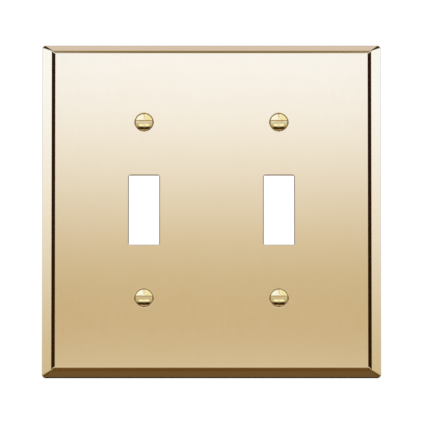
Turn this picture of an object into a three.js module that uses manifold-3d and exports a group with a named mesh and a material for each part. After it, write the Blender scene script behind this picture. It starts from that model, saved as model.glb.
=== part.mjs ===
// A two-gang toggle switch wall plate with its four captive oval-head screws.
//
// Frame, in millimetres: +Z is up, +X is to the viewer's right, and the front face looks along -Y.
// The origin is the centre of the plane where the plate's rim meets the wall, so the wall is y = 0.
// "Depth" is a distance forward from the wall, so a point at depth d has y = -d.
import * as THREE from "three";
import { mergeVertices } from "three/addons/utils/BufferGeometryUtils.js";
import Module from "manifold-3d";

const wasm = await Module();
wasm.setup();

// The pressed sheet
const PLATE_WIDTH = 115.9;
const PLATE_HEIGHT = 114.3;
const PLATE_DEPTH = 6.0;
const SHEET_THICKNESS = 0.9;
const RIM_DEPTH = 2.3; // the straight edge between the wall and the bevel
const SIDE_BEVEL_RUN = 3.85; // the left and right bevels, across the face
const END_BEVEL_RUN = 2.5; // the top and bottom bevels, across the face
const FOLD_RADIUS = 1.9; // outside radius of the fold between face and bevel
const FOLD_STEPS = 5;
const OUTER_CORNER_RADIUS = 1.2; // in plan, at the rim
const FACE_CORNER_RADIUS = 0.7; // in plan, where the fold reaches the face
const CORNER_STEPS = 4;

// The interface of a toggle switch: its gang spacing, mounting screws and lever opening
const GANG_SPACING = 46.04;
const SCREW_SPACING = 60.325;
const OPENING_WIDTH = 10.3;
const OPENING_HEIGHT = 23.8;
const OPENING_CORNER_RADIUS = 0.4;

// The No. 6-32 by 1/2 in oval-head screws and their countersunk seats
const CONE_SLOPE = Math.tan(THREE.MathUtils.degToRad(82 / 2));
const HEAD_RADIUS = 3.0;
const HEAD_SINK = 0.12; // how far the widest part of the head sits below the face
const HEAD_EDGE = 0.12; // the upright edge between the dome and the cone
const DOME_HEIGHT = 0.85;
const SHANK_RADIUS = 1.75;
const SCREW_LENGTH = 12.7; // from the widest part of the head to the tip
const TIP_CHAMFER = 0.5;
const SLOT_WIDTH = 1.05;
const SLOT_DEPTH = 1.2; // from the top of the dome
const SEAT_RADIUS = 3.2; // where the countersink meets the face
const HOLE_RADIUS = 2.0;
const SEAT_DEPTH = (SEAT_RADIUS - HOLE_RADIUS) / CONE_SLOPE;
const SEAT_BACK = SEAT_DEPTH + 0.1; // how far behind the face the pressed seat ends

// The retaining washers on the screw shanks
const WASHER_RADIUS = 3.95;
const WASHER_BORE_RADIUS = 1.9;
const WASHER_THICKNESS = 0.8;
const WASHER_CLEARANCE = 0.1; // what is left to the seat when the screw is pulled right out
const SCREW_TRAVEL = 3.0;

const ROUND_STEPS = 32;
const DOME_STEPS = 5;
const CUT_MARGIN = 2; // how far a cutting solid runs past what it cuts

// Solids

function toSolid(geometry) {
  const bare = geometry.clone();
  bare.deleteAttribute("normal");
  bare.deleteAttribute("uv");
  const merged = mergeVertices(bare);
  const corners = merged.index.array;
  const triangles = [];
  for (let i = 0; i < corners.length; i += 3) {
    const [a, b, c] = corners.slice(i, i + 3);
    if (a !== b && b !== c && c !== a) triangles.push(a, b, c);
  }
  return new wasm.Manifold(new wasm.Mesh({
    numProp: 3,
    vertProperties: new Float32Array(merged.attributes.position.array),
    triVerts: new Uint32Array(triangles),
  }));
}

function toGeometry(solid) {
  const mesh = solid.getMesh();
  const indexed = new THREE.BufferGeometry();
  indexed.setAttribute("position", new THREE.BufferAttribute(mesh.vertProperties, 3));
  indexed.setIndex(new THREE.BufferAttribute(mesh.triVerts, 1));
  const geometry = indexed.toNonIndexed();
  geometry.computeVertexNormals();
  return geometry;
}

// A solid of revolution about the Y axis, from [radius, y] pairs that start and end on the axis.
function turned(profile) {
  const points = profile.map(([radius, y]) => new THREE.Vector2(radius, y));
  return toSolid(new THREE.LatheGeometry(points, ROUND_STEPS));
}

// A solid through level rings of equal length, listed from the back of the plate to the front.
function lofted(rings) {
  const count = rings[0].length;
  const positions = rings.flat(2);
  const corners = [];
  for (let r = 0; r + 1 < rings.length; r += 1) {
    for (let i = 0; i < count; i += 1) {
      const next = (i + 1) % count;
      const [a, b] = [r * count + i, r * count + next];
      corners.push(a, b, a + count, b, b + count, a + count);
    }
  }
  const front = (rings.length - 1) * count;
  for (let i = 1; i + 1 < count; i += 1) {
    corners.push(0, i + 1, i, front, front + i, front + i + 1);
  }
  const geometry = new THREE.BufferGeometry();
  geometry.setAttribute("position", new THREE.Float32BufferAttribute(positions, 3));
  geometry.setIndex(corners);
  return toSolid(geometry);
}

// The plate

// A round-cornered rectangle at one depth, inset from the plate's outline by its sides and its ends.
function ring(sideInset, endInset, radius, depth) {
  const x = PLATE_WIDTH / 2 - sideInset - radius;
  const z = PLATE_HEIGHT / 2 - endInset - radius;
  const centres = [[x, z], [-x, z], [-x, -z], [x, -z]];
  return centres.flatMap(([cx, cz], corner) =>
    Array.from({ length: CORNER_STEPS + 1 }, (_, step) => {
      const angle = (corner + step / CORNER_STEPS) * Math.PI / 2;
      return [cx + radius * Math.cos(angle), -depth, cz + radius * Math.sin(angle)];
    }));
}

// How far in the outside of the sheet is at a depth: rim, bevel, then the round fold up to the face.
function outerInset(run, depth) {
  const bevelDepth = PLATE_DEPTH - RIM_DEPTH;
  const slope = Math.atan2(bevelDepth, run);
  const arcDepth = FOLD_RADIUS * (1 - Math.cos(slope));
  const arcEnd = run + FOLD_RADIUS * Math.tan(slope / 2);
  const below = PLATE_DEPTH - depth;
  if (below < arcDepth) {
    const along = FOLD_RADIUS - below;
    return arcEnd - Math.sqrt(FOLD_RADIUS ** 2 - along ** 2);
  }
  return Math.max(0, run * (depth - RIM_DEPTH) / bevelDepth);
}

// The inside of the sheet: its fold corner lies one thickness in from the bevel and from the face.
function innerFoldInset(run) {
  const slope = Math.atan2(PLATE_DEPTH - RIM_DEPTH, run);
  return run + SHEET_THICKNESS * Math.tan(slope / 2);
}

function pressedShell() {
  const steepest = Math.atan2(PLATE_DEPTH - RIM_DEPTH, END_BEVEL_RUN);
  const arcDepth = FOLD_RADIUS * (1 - Math.cos(steepest));
  const depths = [0, RIM_DEPTH];
  for (let step = 0; step <= FOLD_STEPS; step += 1) {
    depths.push(PLATE_DEPTH - arcDepth * (1 - step / FOLD_STEPS) ** 2);
  }
  const outer = lofted(depths.map((depth) => {
    const forward = Math.max(0, depth - RIM_DEPTH) / (PLATE_DEPTH - RIM_DEPTH);
    const radius = THREE.MathUtils.lerp(OUTER_CORNER_RADIUS, FACE_CORNER_RADIUS, forward);
    return ring(outerInset(SIDE_BEVEL_RUN, depth), outerInset(END_BEVEL_RUN, depth), radius, depth);
  }));

  const wallTurn = Math.atan2(SIDE_BEVEL_RUN, PLATE_DEPTH - RIM_DEPTH);
  const innerRimDepth = RIM_DEPTH - SHEET_THICKNESS * Math.tan(wallTurn / 2);
  const innerRadius = OUTER_CORNER_RADIUS / 2;
  const inner = lofted([
    ring(SHEET_THICKNESS, SHEET_THICKNESS, innerRadius, -CUT_MARGIN),
    ring(SHEET_THICKNESS, SHEET_THICKNESS, innerRadius, innerRimDepth),
    ring(innerFoldInset(SIDE_BEVEL_RUN), innerFoldInset(END_BEVEL_RUN), innerRadius,
      PLATE_DEPTH - SHEET_THICKNESS),
  ]);
  return outer.subtract(inner);
}

function toggleOpening(x) {
  const w = OPENING_WIDTH / 2;
  const h = OPENING_HEIGHT / 2;
  const r = OPENING_CORNER_RADIUS;
  const outline = new THREE.Shape();
  outline.moveTo(w, h - r);
  outline.absarc(w - r, h - r, r, 0, Math.PI / 2);
  outline.absarc(r - w, h - r, r, Math.PI / 2, Math.PI);
  outline.absarc(r - w, r - h, r, Math.PI, Math.PI * 1.5);
  outline.absarc(w - r, r - h, r, Math.PI * 1.5, Math.PI * 2);
  const cutter = new THREE.ExtrudeGeometry(outline, {
    depth: PLATE_DEPTH + 2 * CUT_MARGIN, bevelEnabled: false, curveSegments: CORNER_STEPS,
  });
  cutter.rotateX(Math.PI / 2);
  cutter.translate(x, CUT_MARGIN, 0);
  return toSolid(cutter);
}

// The sheet pressed back into a cone round a screw hole, with its y measured back from the face.
function pressedSeat() {
  const lean = Math.atan(CONE_SLOPE);
  const backRadius = (y) =>
    SEAT_RADIUS + SHEET_THICKNESS / Math.cos(lean) - y * CONE_SLOPE;
  const start = SHEET_THICKNESS / 2;
  return turned([
    [0, start], [backRadius(SHEET_THICKNESS), start],
    [backRadius(SHEET_THICKNESS), SHEET_THICKNESS], [backRadius(SEAT_BACK), SEAT_BACK], [0, SEAT_BACK],
  ]);
}

function seatCut() {
  return turned([
    [0, -CUT_MARGIN], [SEAT_RADIUS, -CUT_MARGIN], [SEAT_RADIUS, 0],
    [HOLE_RADIUS, SEAT_DEPTH], [HOLE_RADIUS, SEAT_BACK + CUT_MARGIN], [0, SEAT_BACK + CUT_MARGIN],
  ]);
}

const SCREW_PLACES = [
  ["upper_left", -1, 1], ["upper_right", 1, 1], ["lower_left", -1, -1], ["lower_right", 1, -1],
].map(([name, side, end]) => ({ name, x: side * GANG_SPACING / 2, z: end * SCREW_SPACING / 2 }));

function facePlate() {
  const openings = [-1, 1].map((side) => toggleOpening(side * GANG_SPACING / 2));
  const seats = SCREW_PLACES.map(({ x, z }) => pressedSeat().translate([x, -PLATE_DEPTH, z]));
  const seatCuts = SCREW_PLACES.map(({ x, z }) => seatCut().translate([x, -PLATE_DEPTH, z]));
  const sheet = seats.reduce((joined, seat) => joined.add(seat), pressedShell());
  const cuts = [...openings, ...seatCuts].reduce((joined, cut) => joined.add(cut));
  return sheet.subtract(cuts);
}

// The screws and washers, with y = 0 at the front face of the plate

function screw() {
  const sphere = (HEAD_RADIUS ** 2 + DOME_HEIGHT ** 2) / (2 * DOME_HEIGHT);
  const spread = Math.asin(HEAD_RADIUS / sphere);
  const top = HEAD_SINK - HEAD_EDGE - DOME_HEIGHT;
  const tip = HEAD_SINK + SCREW_LENGTH;
  const profile = [[0, top]];
  for (let step = 1; step <= DOME_STEPS; step += 1) {
    const angle = spread * step / DOME_STEPS;
    profile.push([sphere * Math.sin(angle), top + sphere * (1 - Math.cos(angle))]);
  }
  profile.push(
    [HEAD_RADIUS, HEAD_SINK],
    [SHANK_RADIUS, HEAD_SINK + (HEAD_RADIUS - SHANK_RADIUS) / CONE_SLOPE],
    [SHANK_RADIUS, tip - TIP_CHAMFER],
    [SHANK_RADIUS - TIP_CHAMFER, tip],
    [0, tip],
  );
  const slot = new THREE.BoxGeometry(4 * HEAD_RADIUS, 2 * SLOT_DEPTH, SLOT_WIDTH);
  slot.translate(0, top, 0);
  return turned(profile).subtract(toSolid(slot));
}

function washer() {
  const front = SEAT_BACK + WASHER_CLEARANCE + SCREW_TRAVEL;
  const back = front + WASHER_THICKNESS;
  const disc = turned([[0, front], [WASHER_RADIUS, front], [WASHER_RADIUS, back], [0, back]]);
  const bore = turned([
    [0, front - CUT_MARGIN], [WASHER_BORE_RADIUS, front - CUT_MARGIN],
    [WASHER_BORE_RADIUS, back + CUT_MARGIN], [0, back + CUT_MARGIN],
  ]);
  return disc.subtract(bore);
}

// Materials and the assembly

const polishedBrass = { color: 0xe3c48d, roughness: 0.12, metalness: 1 };
const brassScrew = { color: 0xd9b25f, roughness: 0.15, metalness: 1 };
const fibre = { color: 0x9a4a32, roughness: 0.85, metalness: 0 };

function part(name, solid, finish) {
  const mesh = new THREE.Mesh(toGeometry(solid), new THREE.MeshStandardMaterial(finish));
  mesh.name = name;
  return mesh;
}

const wallPlate = new THREE.Group();
wallPlate.add(part("face_plate", facePlate(), polishedBrass));
for (const { name, x, z } of SCREW_PLACES) {
  const station = new THREE.Group();
  station.position.set(x, -PLATE_DEPTH, z);
  station.add(part(`${name}_screw`, screw(), brassScrew));
  station.add(part(`${name}_washer`, washer(), fibre));
  wallPlate.add(station);
}

export default wallPlate;
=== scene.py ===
"""A two-gang toggle switch wall plate in polished brass, with its four captive oval-head screws.

Shapes are made in millimetres in the CAD frame (the wall is y = 0, the front looks along -Y, +Z is up) and
scaled to metres when their mesh is written. "Depth" is a distance forward from the wall, so y = -depth.
"""

import math

import bmesh
import bpy
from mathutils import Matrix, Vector
from mathutils.geometry import delaunay_2d_cdt


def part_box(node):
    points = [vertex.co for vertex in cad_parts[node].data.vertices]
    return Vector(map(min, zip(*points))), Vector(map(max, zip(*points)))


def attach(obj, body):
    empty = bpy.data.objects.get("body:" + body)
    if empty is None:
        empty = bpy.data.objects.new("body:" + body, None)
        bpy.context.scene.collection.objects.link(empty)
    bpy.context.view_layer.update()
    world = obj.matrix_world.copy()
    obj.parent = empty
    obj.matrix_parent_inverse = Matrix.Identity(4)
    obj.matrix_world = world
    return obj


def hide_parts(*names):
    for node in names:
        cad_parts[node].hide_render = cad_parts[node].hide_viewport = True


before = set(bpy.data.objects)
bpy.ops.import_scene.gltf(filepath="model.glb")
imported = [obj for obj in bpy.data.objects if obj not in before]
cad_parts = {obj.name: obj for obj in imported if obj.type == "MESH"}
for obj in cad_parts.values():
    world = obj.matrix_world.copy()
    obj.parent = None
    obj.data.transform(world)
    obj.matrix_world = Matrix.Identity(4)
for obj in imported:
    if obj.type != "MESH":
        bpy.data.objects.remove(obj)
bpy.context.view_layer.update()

MM = 0.001

# The pressed sheet
PLATE_LOW, PLATE_HIGH = (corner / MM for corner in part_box("face_plate"))
HALF_WIDTH = (PLATE_HIGH.x - PLATE_LOW.x) / 2
HALF_HEIGHT = (PLATE_HIGH.z - PLATE_LOW.z) / 2
DEPTH = -PLATE_LOW.y
SHEET = 0.9
RIM_DEPTH = 2.3
SIDE_RUN = 3.85
END_RUN = 2.5
FOLD_RADIUS = 1.9
RIM_ROUND = 1.3
INNER_FOLD_RADIUS = 1.0
EDGE_ROUND = 0.12
OUTER_CORNER = 1.2
FACE_CORNER = 0.1
INNER_CORNER = 0.6
CORNER_STEPS = 8
LIP_ROUND = 0.3
GRID_STEP = 7.0

# The toggle openings
GANG_SPACING = 46.04
OPENING_HALF_WIDTH = 5.15
OPENING_HALF_HEIGHT = 11.9
OPENING_CORNER = 0.4

# The oval-head screws and their countersunk seats; "back" is a distance back from the front of the face
CORNERS = ("upper_left", "upper_right", "lower_left", "lower_right")
CONE_SLOPE = math.tan(math.radians(82 / 2))
SEAT_RADIUS = 3.2
HOLE_RADIUS = 2.0
SEAT_DEPTH = (SEAT_RADIUS - HOLE_RADIUS) / CONE_SLOPE
HOLE_LAND = 0.1
SEAT_BACK = SEAT_DEPTH + HOLE_LAND
SEAT_LIP = 0.3
SEAT_FILLET = 0.7
HEAD_RADIUS = 3.0
HEAD_SINK = 0.12
HEAD_EDGE = 0.12
DOME_HEIGHT = 0.85
RIM_SOFTENING = 0.3
MAJOR_RADIUS = 1.75
MINOR_RADIUS = 1.33
NECK_RADIUS = 1.7
NECK_BACK = HEAD_SINK + (HEAD_RADIUS - MAJOR_RADIUS) / CONE_SLOPE
THREAD_START = NECK_BACK + 0.12
PITCH = 25.4 / 32
SCREW_LENGTH = 12.7
TIP_CHAMFER = 0.5
SLOT_WIDTH = 1.05
SLOT_DEPTH = 1.2
SLOT_ROUND = 0.14
ROUND_STEPS = 72

# The retaining washers
WASHER_RADIUS = 3.95
WASHER_BORE = 1.84
WASHER_THICKNESS = 0.8
WASHER_ROUND = 0.14
SCREW_TRAVEL = 3.0
CLEARANCE = 0.1
WASHER_FRONT = SEAT_BACK + CLEARANCE + SCREW_TRAVEL

# The plate's three finishes, and how nearly parallel two faces of one flat stretch are
POLISHED, STAMPED, SHEARED = range(3)
FLAT_COSINE = math.cos(math.radians(0.1))


def arc(centre, radius, start, end, steps):
    """Points (u, v) on an arc from one angle to another, in degrees, both ends included."""
    angles = [math.radians(start + (end - start) * i / steps) for i in range(steps + 1)]
    return [(centre[0] + radius * math.cos(a), centre[1] + radius * math.sin(a)) for a in angles]


# ---- mesh helpers

def add_loop(bm, points):
    return [bm.verts.new(p) for p in points]


def bridge(bm, first, second, material=0, closed=True):
    """Quads between two loops of equal length."""
    count = len(first)
    for i in range(count if closed else count - 1):
        j = (i + 1) % count
        bm.faces.new((first[i], first[j], second[j], second[i])).material_index = material


def encloses(loop, point):
    """True if a point of the XZ plane is inside a closed loop of vertices."""
    inside = False
    for first, second in zip(loop, loop[1:] + loop[:1]):
        a, b = first.co, second.co
        if (a.z > point.y) != (b.z > point.y):
            inside ^= point.x < a.x + (b.x - a.x) * (point.y - a.z) / (b.z - a.z)
    return inside


def fill_plane(bm, outline, holes, material):
    """A flat face at one y with holes in it, triangulated evenly over a coarse grid of points."""
    loops = [outline, *holes]
    y = outline[0].co.y
    flat, edges, known = [], [], []
    for loop in loops:
        start = len(flat)
        flat += [Vector((v.co.x, v.co.z)) for v in loop]
        known += loop
        edges += [(start + i, start + (i + 1) % len(loop)) for i in range(len(loop))]
    half_x = max(abs(p.x) for p in flat)
    half_z = max(abs(p.y) for p in flat)
    columns, rows = round(2 * half_x / GRID_STEP), round(2 * half_z / GRID_STEP)
    for i in range(1, columns):
        for j in range(1, rows):
            spot = Vector((half_x * (2 * i / columns - 1), half_z * (2 * j / rows - 1)))
            if min((spot - p).length for p in flat[:len(known)]) > GRID_STEP / 3:
                flat.append(spot)
    coords, _, faces, origins, _, _ = delaunay_2d_cdt(flat, edges, [], 0, 1e-6)
    corners = []
    for point, origin in zip(coords, origins):
        source = min(origin) if origin else len(known)
        corners.append(known[source] if source < len(known) else bm.verts.new((point.x, y, point.y)))
    for face in faces:
        middle = sum((coords[i] for i in face), Vector((0, 0))) / len(face)
        if not any(encloses(hole, middle) for hole in holes):
            bm.faces.new([corners[i] for i in face]).material_index = material


def true_normals(mesh, sharp):
    """Shades the folds smoothly and keeps every flat face exactly flat, right up to the folds beside it."""
    polygons = mesh.polygons
    beside, around = {}, [[] for _ in mesh.vertices]
    for polygon in polygons:
        for key in polygon.edge_keys:
            beside.setdefault(key, []).append(polygon.index)
        for vertex in polygon.vertices:
            around[vertex].append(polygon.index)
    flat = set()
    for pair in beside.values():
        if len(pair) == 2 and polygons[pair[0]].normal.dot(polygons[pair[1]].normal) > FLAT_COSINE:
            flat.update(pair)
    normals = []
    for polygon in polygons:
        for vertex in polygon.vertices:
            near = [i for i in around[vertex] if polygons[i].normal.dot(polygon.normal) > math.cos(sharp)]
            chosen = [i for i in near if i in flat] or near
            total = sum((polygons[i].normal * polygons[i].area for i in chosen), Vector())
            normals.append(total.normalized())
    mesh.normals_split_custom_set(normals)


def finish_piece(name, bm, materials, body, nodes, sharp_degrees=32):
    """Welds, orients and scales the mesh, marks its sharp edges, and sets it on its body."""
    bmesh.ops.remove_doubles(bm, verts=bm.verts, dist=1e-5)
    bmesh.ops.dissolve_degenerate(bm, edges=bm.edges, dist=1e-5)
    bmesh.ops.recalc_face_normals(bm, faces=bm.faces)
    for edge in bm.edges:
        edge.smooth = len(edge.link_faces) == 2 and edge.calc_face_angle(0) < math.radians(sharp_degrees)
    for face in bm.faces:
        face.smooth = True
    bmesh.ops.scale(bm, vec=(MM, MM, MM), verts=bm.verts)
    mesh = bpy.data.meshes.new(name)
    bm.to_mesh(mesh)
    bm.free()
    true_normals(mesh, math.radians(sharp_degrees))
    for material in materials:
        mesh.materials.append(material)
    piece = bpy.data.objects.new(name, mesh)
    bpy.context.scene.collection.objects.link(piece)
    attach(piece, body)
    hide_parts(*nodes)
    return piece


# ---- the face plate

def bevel_slope(run):
    return math.atan2(DEPTH - RIM_DEPTH, run)


def outer_inset(run, depth):
    """How far in the outside of the sheet is at a depth: rim, its softened edge, bevel, then the fold."""
    slope = bevel_slope(run)
    turn = math.pi / 2 - slope
    rim_start = RIM_DEPTH - RIM_ROUND * math.tan(turn / 2)
    if depth <= EDGE_ROUND:
        return EDGE_ROUND - math.sqrt(EDGE_ROUND ** 2 - (EDGE_ROUND - depth) ** 2)
    if depth <= rim_start:
        return 0.0
    if depth < rim_start + RIM_ROUND * math.sin(turn):
        return RIM_ROUND - math.sqrt(RIM_ROUND ** 2 - (depth - rim_start) ** 2)
    below = DEPTH - depth
    if below < FOLD_RADIUS * (1 - math.cos(slope)):
        fold_end = run + FOLD_RADIUS * math.tan(slope / 2)
        return fold_end - math.sqrt(FOLD_RADIUS ** 2 - (FOLD_RADIUS - below) ** 2)
    return run * (depth - RIM_DEPTH) / (DEPTH - RIM_DEPTH)


def inner_inset(run, depth):
    """The same for the inside of the sheet, one thickness in, with its own small fold."""
    slope = bevel_slope(run)
    turn = math.pi / 2 - slope
    ceiling = DEPTH - SHEET
    corner_depth = RIM_DEPTH - SHEET * math.tan(turn / 2)
    if depth <= corner_depth:
        return SHEET
    below = ceiling - depth
    fold_inset = run + SHEET * math.tan(slope / 2)
    if below < INNER_FOLD_RADIUS * (1 - math.cos(slope)):
        fold_end = fold_inset + INNER_FOLD_RADIUS * math.tan(slope / 2)
        return fold_end - math.sqrt(INNER_FOLD_RADIUS ** 2 - (INNER_FOLD_RADIUS - below) ** 2)
    return fold_inset - below / math.tan(slope)


def plate_ring(inset, depth, radius):
    x = HALF_WIDTH - inset(SIDE_RUN, depth) - radius
    z = HALF_HEIGHT - inset(END_RUN, depth) - radius
    points = []
    for quarter, (cx, cz) in enumerate(((x, z), (-x, z), (-x, -z), (x, -z))):
        swept = arc((cx, cz), radius, 90 * quarter, 90 * quarter + 90, CORNER_STEPS)
        points += [(px, -depth, pz) for px, pz in swept]
    return points


def rings_of(bm, inset, depths, radius_at, material):
    loops = [add_loop(bm, plate_ring(inset, d, radius_at(d))) for d in depths]
    for first, second in zip(loops, loops[1:]):
        bridge(bm, first, second, material)
    return loops[0], loops[-1]


def spread(start, end, steps, power=1.0):
    """Depths from start to end that crowd towards the end as power grows."""
    return [end - (end - start) * (1 - i / steps) ** power for i in range(steps + 1)]


def outer_corner_radius(depth):
    forward = max(0.0, depth - RIM_DEPTH) / (DEPTH - RIM_DEPTH)
    return OUTER_CORNER + (FACE_CORNER - OUTER_CORNER) * forward


def opening_ring(x, grow, depth):
    w, h, r = OPENING_HALF_WIDTH + grow, OPENING_HALF_HEIGHT + grow, OPENING_CORNER + grow
    points = []
    for quarter, (cx, cz) in enumerate(((w - r, h - r), (r - w, h - r), (r - w, r - h), (w - r, r - h))):
        points += [(x + px, -depth, pz) for px, pz in arc((cx, cz), r, 90 * quarter, 90 * quarter + 90, 5)]
    return points


def toggle_opening(bm, x):
    """The sheared wall of one opening, with its rolled front lip. Returns its front and back loops."""
    lip_steps = 8
    lip = arc((LIP_ROUND, DEPTH - LIP_ROUND), LIP_ROUND, 90, 180, lip_steps)
    back = DEPTH - SHEET
    break_width, break_height = 0.05, 0.08
    profile = [*lip, (0.0, back + break_height), (break_width, back)]
    loops = [add_loop(bm, opening_ring(x, grow, depth)) for grow, depth in profile]
    for step, (first, second) in enumerate(zip(loops, loops[1:])):
        bridge(bm, first, second, POLISHED if step < lip_steps else SHEARED)
    return loops[0], loops[-1]


def seat_profile():
    """(radius, distance back from the face, material) down the front of a dimple and up its back."""
    lean = math.atan(CONE_SLOPE)
    lip_turn = math.pi / 2 - lean
    mouth = SEAT_RADIUS + SEAT_LIP * math.tan(lip_turn / 2)
    steps = 6
    points = []
    for i in range(steps + 1):
        a = lip_turn * i / steps
        points.append((mouth - SEAT_LIP * math.sin(a), SEAT_LIP * (1 - math.cos(a)), POLISHED))
    front_break, edge_break, back_break = 0.06, 0.03, 0.05
    points += [
        (HOLE_RADIUS + front_break, SEAT_DEPTH - front_break / CONE_SLOPE, POLISHED),
        (HOLE_RADIUS, SEAT_DEPTH + edge_break, SHEARED),
        (HOLE_RADIUS, SEAT_BACK - edge_break, SHEARED),
        (HOLE_RADIUS + back_break, SEAT_BACK, STAMPED),
    ]
    across = SHEET / math.cos(lean)
    back_radius = SEAT_RADIUS + across - SEAT_BACK * CONE_SLOPE
    shoulder = 0.15
    points += [
        (back_radius - shoulder, SEAT_BACK, STAMPED),
        (back_radius - shoulder * 0.3, SEAT_BACK - shoulder * 0.25, STAMPED),
        (back_radius + shoulder * 0.6 * CONE_SLOPE, SEAT_BACK - shoulder * 0.9, STAMPED),
    ]
    foot = SEAT_RADIUS + across - SHEET * CONE_SLOPE + SEAT_FILLET * math.tan(lip_turn / 2)
    for i in range(steps + 1):
        a = lip_turn * (1 - i / steps)
        points.append((foot - SEAT_FILLET * math.sin(a), SHEET + SEAT_FILLET * (1 - math.cos(a)), STAMPED))
    return points


def seat(bm, x, z):
    """One pressed, countersunk seat. Returns its front and back loops."""
    loops = []
    profile = seat_profile()
    for radius, back, _ in profile:
        circle = arc((x, z), radius, 0, 360, ROUND_STEPS)[:-1]
        loops.append(add_loop(bm, [(px, back - DEPTH, pz) for px, pz in circle]))
    for (first, second), (_, _, material) in zip(zip(loops, loops[1:]), profile[1:]):
        bridge(bm, first, second, material)
    return loops[0], loops[-1]


def wall_plate():
    """The whole pressed sheet. Its rings of points crowd together where the sheet bends."""
    bm = bmesh.new()
    steepest = bevel_slope(END_RUN)
    rim_bend = (RIM_DEPTH - 0.5 * RIM_ROUND, RIM_DEPTH + 0.4 * RIM_ROUND)
    bevel = (3.2, 4.9)
    fold = (DEPTH - FOLD_RADIUS * (1 - math.cos(steepest)), DEPTH)
    depths = [
        *spread(0.0, EDGE_ROUND, 4, 0.6), *spread(*rim_bend, 16), *spread(*bevel, 2), *spread(*fold, 20, 2),
    ]
    back_edge, face_edge = rings_of(bm, outer_inset, depths, outer_corner_radius, POLISHED)

    ceiling = DEPTH - SHEET
    inner_rim = (0.0, 0.7, 1.5)
    inner_bend = (1.85, 2.0)
    inner_bevel = (3.0, 4.0)
    inner_fold = (ceiling - INNER_FOLD_RADIUS * (1 - math.cos(steepest)), ceiling)
    inner_depths = [*inner_rim, *spread(*inner_bend, 3), *inner_bevel, *spread(*inner_fold, 6, 2)]
    inner_edge, ceiling_edge = rings_of(bm, inner_inset, inner_depths, lambda depth: INNER_CORNER, STAMPED)
    bridge(bm, back_edge, inner_edge, SHEARED)

    front_holes, back_holes = [], []
    for side in (-1, 1):
        front, back = toggle_opening(bm, side * GANG_SPACING / 2)
        front_holes.append(front)
        back_holes.append(back)
    for x, z in SCREW_PLACES.values():
        front, back = seat(bm, x, z)
        front_holes.append(front)
        back_holes.append(back)
    fill_plane(bm, face_edge, front_holes, POLISHED)
    fill_plane(bm, ceiling_edge, back_holes, STAMPED)
    materials = [polished_brass(), stamped_brass(), sheared_brass()]
    return finish_piece("wall_plate_shell", bm, materials, "plate", ["face_plate"])


# ---- the screws and their washers

def head_profile():
    """The top of the dome, and (radius, distance back from the face) from there down to the shank."""
    # the softened rim is an arc tangent to the dome and to the head's upright edge
    upright = 0.06
    reach = HEAD_RADIUS - RIM_SOFTENING
    top = HEAD_SINK - HEAD_EDGE - DOME_HEIGHT
    spare = top - (HEAD_SINK - upright) + RIM_SOFTENING
    sphere = RIM_SOFTENING - (reach ** 2 + spare ** 2) / (2 * spare)
    meet = math.asin(reach / (sphere - RIM_SOFTENING))
    dome_steps, rim_steps = 14, 8
    points = []
    for i in range(1, dome_steps + 1):
        a = meet * i / dome_steps
        points.append((sphere * math.sin(a), top + sphere * (1 - math.cos(a))))
    centre = (reach, top + sphere - (sphere - RIM_SOFTENING) * math.cos(meet))
    for i in range(1, rim_steps + 1):
        a = meet + (math.pi / 2 - meet) * i / rim_steps
        points.append((centre[0] + RIM_SOFTENING * math.sin(a), centre[1] - RIM_SOFTENING * math.cos(a)))
    edge_break = 0.05
    points += [
        (HEAD_RADIUS, HEAD_SINK - 0.02), (HEAD_RADIUS - edge_break, HEAD_SINK + upright),
        (MAJOR_RADIUS + edge_break, NECK_BACK - edge_break), (NECK_RADIUS, THREAD_START),
    ]
    return top, points


def turned_head(place, top, profile):
    """The head, closed below by a flat cap, before its slot is cut."""
    bm = bmesh.new()
    crown = bm.verts.new(place(0, top, 0))
    turns = [2 * math.pi * i / ROUND_STEPS for i in range(ROUND_STEPS)]
    loops = [add_loop(bm, [place(r, back, a) for a in turns]) for r, back in profile]
    for i in range(ROUND_STEPS):
        bm.faces.new((crown, loops[0][i], loops[0][(i + 1) % ROUND_STEPS]))
    for first, second in zip(loops, loops[1:]):
        bridge(bm, first, second)
    bm.faces.new(loops[-1])
    bmesh.ops.recalc_face_normals(bm, faces=bm.faces)
    return bm


def as_object(name, bm):
    mesh = bpy.data.meshes.new(name)
    bm.to_mesh(mesh)
    bm.free()
    made = bpy.data.objects.new(name, mesh)
    bpy.context.scene.collection.objects.link(made)
    return made


def cut_slot(bm, x, y, z):
    """Cuts a slot across the head from a point at the top of its dome. Returns the new mesh."""
    head = as_object("head", bm)
    cutter_bm = bmesh.new()
    bmesh.ops.create_cube(cutter_bm, size=1)
    bmesh.ops.scale(cutter_bm, vec=(4 * HEAD_RADIUS, 2 * SLOT_DEPTH, SLOT_WIDTH), verts=cutter_bm.verts)
    bmesh.ops.translate(cutter_bm, vec=(x, y, z), verts=cutter_bm.verts)
    cutter = as_object("slot_cutter", cutter_bm)
    cut = head.modifiers.new("slot", "BOOLEAN")
    cut.object, cut.operation, cut.solver = cutter, "DIFFERENCE", "EXACT"
    bpy.context.view_layer.update()
    done = bpy.data.meshes.new_from_object(head.evaluated_get(bpy.context.evaluated_depsgraph_get()))
    slotted = bmesh.new()
    slotted.from_mesh(done)
    leftovers = (head.data, cutter.data, done)
    for part in (head, cutter):
        bpy.data.objects.remove(part)
    for mesh in leftovers:
        bpy.data.meshes.remove(mesh)
    return slotted


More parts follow.
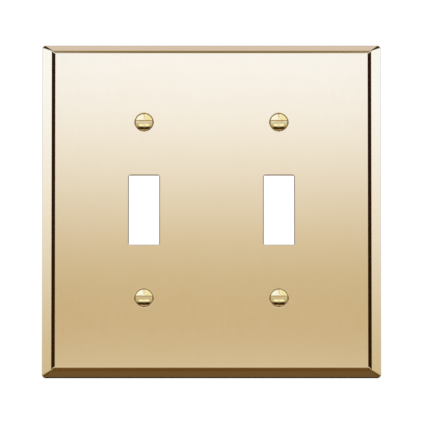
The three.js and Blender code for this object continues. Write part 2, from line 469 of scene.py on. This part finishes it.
def soften_slot(bm, z):
    """Breaks the sharp edges where the slot meets the dome."""
    bmesh.ops.remove_doubles(bm, verts=bm.verts, dist=1e-4)
    edges = [
        e for e in bm.edges
        if len(e.link_faces) == 2 and e.calc_face_angle(0) > math.radians(50)
        and all(abs(abs(v.co.z - z) - SLOT_WIDTH / 2) < 1e-3 for v in e.verts)
        and max(v.co.y for v in e.verts) < HEAD_SINK - DEPTH - 0.1
    ]
    bmesh.ops.bevel(bm, geom=edges, offset=SLOT_ROUND, segments=4, affect="EDGES", profile=0.5)


def thread(bm, place):
    """The threaded shank, as one helical strip from just under the head to the flat tip."""
    start, end = THREAD_START, HEAD_SINK + SCREW_LENGTH
    flat = PITCH / 8
    shape = [(0.0, MINOR_RADIUS), (flat, MINOR_RADIUS), (PITCH / 2 - flat / 2, MAJOR_RADIUS),
             (PITCH / 2 + flat / 2, MAJOR_RADIUS)]
    run_in = PITCH * 0.9

    def radius_at(radius, back):
        into = min(max((back - start) / run_in, 0.0), 1.0)
        radius = NECK_RADIUS + (radius - NECK_RADIUS) * into
        return min(radius, MAJOR_RADIUS - TIP_CHAMFER + max(0.0, end - back))

    rows = []
    turns = math.ceil((end - start) / PITCH) + 1
    for turn in range(-1, turns):
        for offset, radius in shape:
            row = []
            for i in range(ROUND_STEPS + 1):
                back = min(max(start + PITCH * (turn + i / ROUND_STEPS) + offset, start), end)
                angle = 2 * math.pi * i / ROUND_STEPS
                row.append(bm.verts.new(place(radius_at(radius, back), back, angle)))
            rows.append(row)
    for first, second in zip(rows, rows[1:]):
        bridge(bm, first, second, closed=False)
    tip_radius = MAJOR_RADIUS - TIP_CHAMFER
    tip = [place(tip_radius, end, 2 * math.pi * i / ROUND_STEPS) for i in range(ROUND_STEPS)]
    bm.faces.new(add_loop(bm, tip))


def screw_mesh(x, z):
    def place(radius, back, angle):
        return (x + radius * math.cos(angle), back - DEPTH, z + radius * math.sin(angle))

    top, profile = head_profile()
    bm = cut_slot(turned_head(place, top, profile), x, top - DEPTH, z)
    soften_slot(bm, z)
    cap = max(bm.faces, key=lambda face: face.calc_center_median().y)
    bmesh.ops.delete(bm, geom=[cap], context="FACES_ONLY")
    thread(bm, place)
    return bm


def washer_mesh(x, z):
    bm = bmesh.new()
    edge = WASHER_ROUND
    front, back = WASHER_FRONT + edge, WASHER_FRONT + WASHER_THICKNESS - edge
    outer, bore = WASHER_RADIUS - edge, WASHER_BORE + edge
    section = [
        *arc((outer, front), edge, -90, 0, 4), *arc((outer, back), edge, 0, 90, 4),
        *arc((bore, back), edge, 90, 180, 4), *arc((bore, front), edge, 180, 270, 4),
    ]
    loops = []
    for radius, depth in section:
        circle = arc((x, z), radius, 0, 360, 64)[:-1]
        loops.append(add_loop(bm, [(px, depth - DEPTH, pz) for px, pz in circle]))
    for first, second in zip(loops, loops[1:] + loops[:1]):
        bridge(bm, first, second)
    return bm


# ---- materials

class Nodes:
    """A small helper that makes shader nodes and joins them."""

    def __init__(self, tree):
        self.tree = tree
        tree.nodes.clear()

    def new(self, kind, inputs=(), **settings):
        node = self.tree.nodes.new(kind)
        for key, value in settings.items():
            setattr(node, key, value)
        for socket, value in dict(inputs).items():
            target = node.inputs[socket]
            if isinstance(value, bpy.types.NodeSocket):
                self.tree.links.new(value, target)
            else:
                target.default_value = value
        return node

    def math(self, operation, *values):
        return self.new("ShaderNodeMath", enumerate(values), operation=operation).outputs[0]

    def both(self, first, second):
        return self.math("MULTIPLY", first, second)

    def blend(self, factor, first, second, kind="MIX"):
        inputs = {"Factor": factor, 6: first, 7: second}
        return self.new("ShaderNodeMix", inputs, data_type="RGBA", blend_type=kind).outputs[2]

    def span(self, value, low, high, to_low=0.0, to_high=1.0, smooth=False):
        inputs = {0: value, 1: low, 2: high, 3: to_low, 4: to_high}
        kind = "SMOOTHSTEP" if smooth else "LINEAR"
        return self.new("ShaderNodeMapRange", inputs, interpolation_type=kind).outputs[0]

    def window(self, value, start, full, fading, end):
        """1 between full and fading, and 0 outside start and end."""
        rising = self.span(value, start, full, smooth=True)
        falling = self.span(value, fading, end, 1.0, 0.0, smooth=True)
        return self.both(rising, falling)

    def noise(self, vector, scale, detail=3.0, rough=0.55, stretch=(1, 1, 1)):
        """Noise in object space; the scale is in features per metre."""
        placed = self.new("ShaderNodeMapping", {0: vector, 3: stretch}).outputs[0]
        inputs = {"Vector": placed, "Scale": scale, "Detail": detail, "Roughness": rough}
        return self.new("ShaderNodeTexNoise", inputs).outputs[0]


def new_material(name):
    """A new material, its nodes, and the object's own coordinates."""
    material = bpy.data.materials.new(name)
    material.use_nodes = True
    nodes = Nodes(material.node_tree)
    place = nodes.new("ShaderNodeTexCoord").outputs["Object"]
    return material, nodes, place


def surface(nodes, colour, roughness, height, bump_distance, metallic, strength):
    """Ends a material with a plain surface and its bump; the bump distance is in metres."""
    bump = nodes.new("ShaderNodeBump", {"Strength": strength, "Distance": bump_distance, "Height": height})
    shader = nodes.new("ShaderNodeBsdfPrincipled", {
        "Base Color": colour, "Metallic": metallic, "Roughness": roughness, "Normal": bump.outputs[0],
    })
    nodes.new("ShaderNodeOutputMaterial", {0: shader.outputs[0]})


def polished_brass():
    """Mirror-polished: a clean reflection, with only the finest polishing haze."""
    material, nodes, place = new_material("polished_brass")
    drift = nodes.noise(place, 35.0, 2.0)
    colour = nodes.blend(drift, (0.905, 0.668, 0.330, 1), (0.895, 0.652, 0.312, 1))
    haze = nodes.noise(place, 900.0, 4.0, stretch=(1, 1, 0.25))
    roughness = nodes.span(haze, 0.3, 0.7, 0.05, 0.058)
    surface(nodes, colour, roughness, haze, 2e-8, 1.0, 0.2)
    return material


def stamped_brass():
    """The unpolished back of the sheet: rolled, dull and lightly toned."""
    material, nodes, place = new_material("stamped_brass_back")
    grain = nodes.noise(place, 1500.0, 4.0, stretch=(1, 1, 0.05))
    toning = nodes.noise(place, 60.0, 5.0, 0.6)
    blotch = nodes.span(toning, 0.35, 0.7, smooth=True)
    colour = nodes.blend(blotch, (0.80, 0.48, 0.15, 1), (0.66, 0.37, 0.11, 1))
    rolled = nodes.span(grain, 0.3, 0.7, 0.26, 0.36)
    roughness = nodes.math("ADD", rolled, nodes.both(blotch, 0.12))
    surface(nodes, colour, roughness, grain, 6e-6, 1.0, 0.5)
    return material


def sheared_brass():
    """Cut edges: fine striations through the thickness of the sheet."""
    material, nodes, place = new_material("sheared_brass_edge")
    striation = nodes.noise(place, 5000.0, 3.0, stretch=(1, 0.06, 1))
    colour = nodes.blend(striation, (0.62, 0.42, 0.17, 1), (0.80, 0.58, 0.28, 1))
    roughness = nodes.span(striation, 0.3, 0.7, 0.25, 0.42)
    surface(nodes, colour, roughness, striation, 8e-6, 1.0, 0.5)
    return material


def screw_brass():
    """Brass-plated screw: bright, a little deeper in colour, with faint turning marks."""
    material, nodes, place = new_material("brass_screw")
    drift = nodes.noise(place, 400.0, 3.0)
    colour = nodes.blend(drift, (0.90, 0.66, 0.27, 1), (0.86, 0.60, 0.22, 1))
    marks = nodes.noise(place, 2500.0, 3.0, stretch=(1, 1, 0.4))
    roughness = nodes.span(marks, 0.3, 0.7, 0.08, 0.15)
    surface(nodes, colour, roughness, marks, 1e-6, 1.0, 0.3)
    return material


def fibre():
    """Vulcanised fibre: dull red-brown, with a fine felted texture."""
    material, nodes, place = new_material("fibre_washer")
    felt = nodes.noise(place, 2600.0, 6.0, 0.7, stretch=(1, 3, 1))
    mottle = nodes.noise(place, 500.0, 3.0)
    colour = nodes.blend(mottle, (0.36, 0.11, 0.055, 1), (0.26, 0.075, 0.04, 1))
    colour = nodes.blend(nodes.span(felt, 0.35, 0.75, 0.0, 0.35), colour, (0.48, 0.2, 0.12, 1))
    roughness = nodes.span(felt, 0.3, 0.7, 0.72, 0.92)
    surface(nodes, colour, roughness, felt, 4e-5, 0.0, 0.6)
    return material


# ---- the studio

# The mean colour of polished brass. The profiles and cards below are given as they look in it.
POLISHED_TINT = (0.90, 0.66, 0.32)

# The soft light all round, as (elevation in degrees from the front, red, and the green and the blue as
# shares of the red). 90 is straight up, 180 is behind and -90 is straight down.
ROUND_PROFILE = [
    (-180, 0.30, 0.76, 0.42), (-122, 0.22, 0.65, 0.28), (-107, 0.15, 0.53, 0.16), (-75, 0.10, 0.40, 0.04),
    (-48, 0.16, 0.48, 0.09), (-30, 0.12, 0.47, 0.08), (-18, 0.50, 0.72, 0.38), (-6, 0.70, 0.77, 0.44),
    (5.5, 0.68, 0.77, 0.45), (9, 0.98, 0.96, 0.89), (50, 1.0, 0.97, 0.88), (66, 0.30, 0.74, 0.32),
    (79, 0.22, 0.75, 0.28), (94, 0.64, 0.77, 0.50), (119, 0.71, 0.77, 0.53), (123, 0.50, 0.82, 0.60),
    (180, 0.30, 0.76, 0.42),
]
# The soft edge of the light in front of the plate, from tan to white, over the few degrees that the flat
# face mirrors, and the one beside it, by the height of the direction, for the bevels at the two sides.
FACE_PROFILE = [
    (5.75, 0.73, 0.79, 0.50), (5.96, 0.525, 0.67, 0.25), (6.50, 0.62, 0.73, 0.35),
    (7.15, 0.875, 0.885, 0.68), (7.55, 0.97, 0.945, 0.85), (8.40, 0.96, 0.98, 0.94),
]
SIDE_PROFILE = [
    (0.090, 0.56, 0.74, 0.34), (0.104, 0.64, 0.77, 0.42), (0.120, 0.88, 0.89, 0.70),
    (0.130, 0.95, 0.97, 0.87), (0.145, 0.96, 0.975, 0.89),
]


def profile_ramp(nodes, position, profile):
    """Turns a position into the colour of a profile, linear between its stops."""
    low, high = profile[0][0], profile[-1][0]
    ramp = nodes.new("ShaderNodeValToRGB", {0: nodes.span(position, low, high)})
    elements = ramp.color_ramp.elements
    while len(elements) < len(profile):
        elements.new(0.5)
    for element, (at, *_) in zip(elements, profile):
        element.position = (at - low) / (high - low)
    for element, (_, red, green, blue) in zip(elements, profile):
        element.color = (red, red * green, red * blue, 1)
    return ramp.outputs[0]


def graded_room(nodes, x, z, elevation):
    """The soft light all round, with no cards in it."""
    room = profile_ramp(nodes, elevation, ROUND_PROFILE)
    face = profile_ramp(nodes, elevation, FACE_PROFILE)
    room = nodes.blend(nodes.window(elevation, 4.0, 5.4, 8.4, 10.0), room, face)
    side = profile_ramp(nodes, z, SIDE_PROFILE)
    return nodes.blend(nodes.span(nodes.math("ABSOLUTE", x), 0.62, 0.85, smooth=True), room, side)


def cards_and_flags(nodes, x, y, z, elevation, azimuth):
    """(mask, colour seen in polished brass) of each card and dark flag. Later ones hide earlier ones."""
    across = nodes.math("ABSOLUTE", x)
    # the room behind the plate is a little darker
    behind = nodes.both(nodes.span(azimuth, 95, 130, smooth=True), nodes.window(z, -0.7, -0.5, 0.5, 0.7))
    # the upper light is weaker on the right
    weaker = nodes.both(nodes.window(elevation, 9, 16, 70, 85), nodes.window(x, -0.1, 0.3, 0.6, 0.8))
    # low cards at both sides of the middle, which the screws' domes mirror below their slots
    beside = nodes.window(across, 0.026, 0.040, 0.45, 0.60)
    low = nodes.both(nodes.window(elevation, -20, -17, -4, 0), beside)
    lower = nodes.both(nodes.window(elevation, -39, -36, -24, -21), beside)
    lowest = nodes.both(nodes.window(elevation, -66, -60, -42, -39), beside)
    # narrow dark cards overhead and below, which only the top fold and the bottom edge mirror
    overhead = nodes.both(nodes.window(elevation, 22, 30, 77, 84),
                          nodes.span(across, 0.019, 0.027, 1.0, 0.0, smooth=True))
    below = nodes.both(nodes.window(elevation, -190, -185, -113, -108),
                       nodes.span(across, 0.05, 0.15, 1.0, 0.0, smooth=True))
    # dark flags at the two sides of the camera, which the side folds mirror
    beside_camera = nodes.both(nodes.window(azimuth, 1.3, 3, 83, 87), nodes.window(z, 0.0, 0.07, 0.25, 0.31))
    # and dark flags on the diagonals, which the corners of the plate mirror
    oblique = nodes.both(nodes.window(across, 0.12, 0.25, 0.85, 0.95),
                         nodes.window(y, -0.42, -0.3, 0.5, 0.7))
    upper_diagonal = nodes.both(oblique, nodes.window(z, 0.15, 0.25, 0.93, 0.98))
    lower_diagonal = nodes.both(oblique, nodes.window(z, -0.95, -0.85, -0.05, 0.08))
    return [
        (behind, (0.70, 0.64, 0.53)), (weaker, (0.92, 0.79, 0.48)),
        (low, (1.0, 0.93, 0.62)), (lower, (0.025, 0.012, 0.001)), (lowest, (0.80, 0.54, 0.30)),
        (overhead, (0.22, 0.165, 0.06)), (below, (0.03, 0.018, 0.003)),
        (beside_camera, (0.026, 0.008, 0.001)),
        (upper_diagonal, (0.06, 0.03, 0.008)), (lower_diagonal, (0.10, 0.05, 0.01)),
    ]


def studio_light():
    """Soft light all round, and cards and dark flags that only the polished metal mirrors."""
    world = bpy.data.worlds.new("studio")
    bpy.context.scene.world = world
    world.use_nodes = True
    nodes = Nodes(world.node_tree)
    direction = nodes.new("ShaderNodeTexCoord").outputs["Generated"]
    x, y, z = nodes.new("ShaderNodeSeparateXYZ", {0: direction}).outputs
    toward = nodes.math("MULTIPLY", y, -1.0)
    elevation = nodes.math("DEGREES", nodes.math("ARCTAN2", z, toward))
    azimuth = nodes.math("DEGREES", nodes.math("ARCTAN2", nodes.math("ABSOLUTE", x), toward))

    seen = graded_room(nodes, x, z, elevation)
    for mask, colour in cards_and_flags(nodes, x, y, z, elevation, azimuth):
        seen = nodes.blend(mask, seen, (*colour, 1))
    mirrored = nodes.blend(1.0, seen, (*(1 / share for share in POLISHED_TINT), 1), "MULTIPLY")

    # everything else is lit evenly, and the background is plain white
    ray = nodes.new("ShaderNodeLightPath").outputs
    light = nodes.blend(ray["Is Glossy Ray"], (1.0, 0.99, 0.97, 1), mirrored)
    light = nodes.blend(ray["Is Camera Ray"], light, (1.05, 1.05, 1.05, 1))
    background = nodes.new("ShaderNodeBackground", {0: light, 1: 1.0})
    nodes.new("ShaderNodeOutputWorld", {0: background.outputs[0]})


def floor():
    """A plain pale floor well under the plate, which hangs at wall height."""
    drop, half = 4.0, 60.0
    corners = [(-half, -half, -drop), (half, -half, -drop), (half, half, -drop), (-half, half, -drop)]
    mesh = bpy.data.meshes.new("floor")
    mesh.from_pydata(corners, [], [(0, 1, 2, 3)])
    material, nodes, place = new_material("pale_floor")
    tone = nodes.noise(place, 0.6, 2.0)
    shader = nodes.new("ShaderNodeBsdfPrincipled", {
        "Base Color": nodes.blend(tone, (0.80, 0.80, 0.79, 1), (0.82, 0.82, 0.81, 1)),
        "Roughness": 0.9,
    })
    nodes.new("ShaderNodeOutputMaterial", {0: shader.outputs[0]})
    mesh.materials.append(material)
    stage = bpy.data.objects.new("floor", mesh)
    bpy.context.scene.collection.objects.link(stage)
    stage.visible_glossy = False


def camera():
    """A long lens a little below the middle of the plate, looking up at it."""
    distance, elevation = 3.0, math.radians(-6.8)
    frame_width, sensor = 0.14515, 36.0
    aim = Vector((0.00034, (PLATE_LOW.y / 2) * MM, -0.00054))
    data = bpy.data.cameras.new("camera")
    data.sensor_width = sensor
    data.lens = sensor * distance / frame_width
    data.clip_start, data.clip_end = 0.1, 200.0
    data.dof.use_dof = False
    placed = bpy.data.objects.new("camera", data)
    back = Vector((0, -math.cos(elevation), math.sin(elevation)))
    placed.location = aim + back * distance
    placed.rotation_mode = "QUATERNION"
    placed.rotation_quaternion = (-back).to_track_quat("-Z", "Y")
    bpy.context.scene.collection.objects.link(placed)
    bpy.context.scene.camera = placed


# ---- everything together

SCREW_PLACES = {}
for corner in CORNERS:
    low, high = (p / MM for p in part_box(f"{corner}_screw"))
    SCREW_PLACES[corner] = ((low.x + high.x) / 2, (low.z + high.z) / 2)

bpy.context.scene.view_settings.view_transform = "Standard"

wall_plate()
screw_finish, washer_finish = screw_brass(), fibre()
for corner, (x, z) in SCREW_PLACES.items():
    finish_piece(f"{corner}_oval_head_screw", screw_mesh(x, z), [screw_finish],
                 f"{corner}_fastener", [f"{corner}_screw"])
    finish_piece(f"{corner}_retaining_washer", washer_mesh(x, z), [washer_finish],
                 f"{corner}_retainer", [f"{corner}_washer"])
studio_light()
floor()
camera()
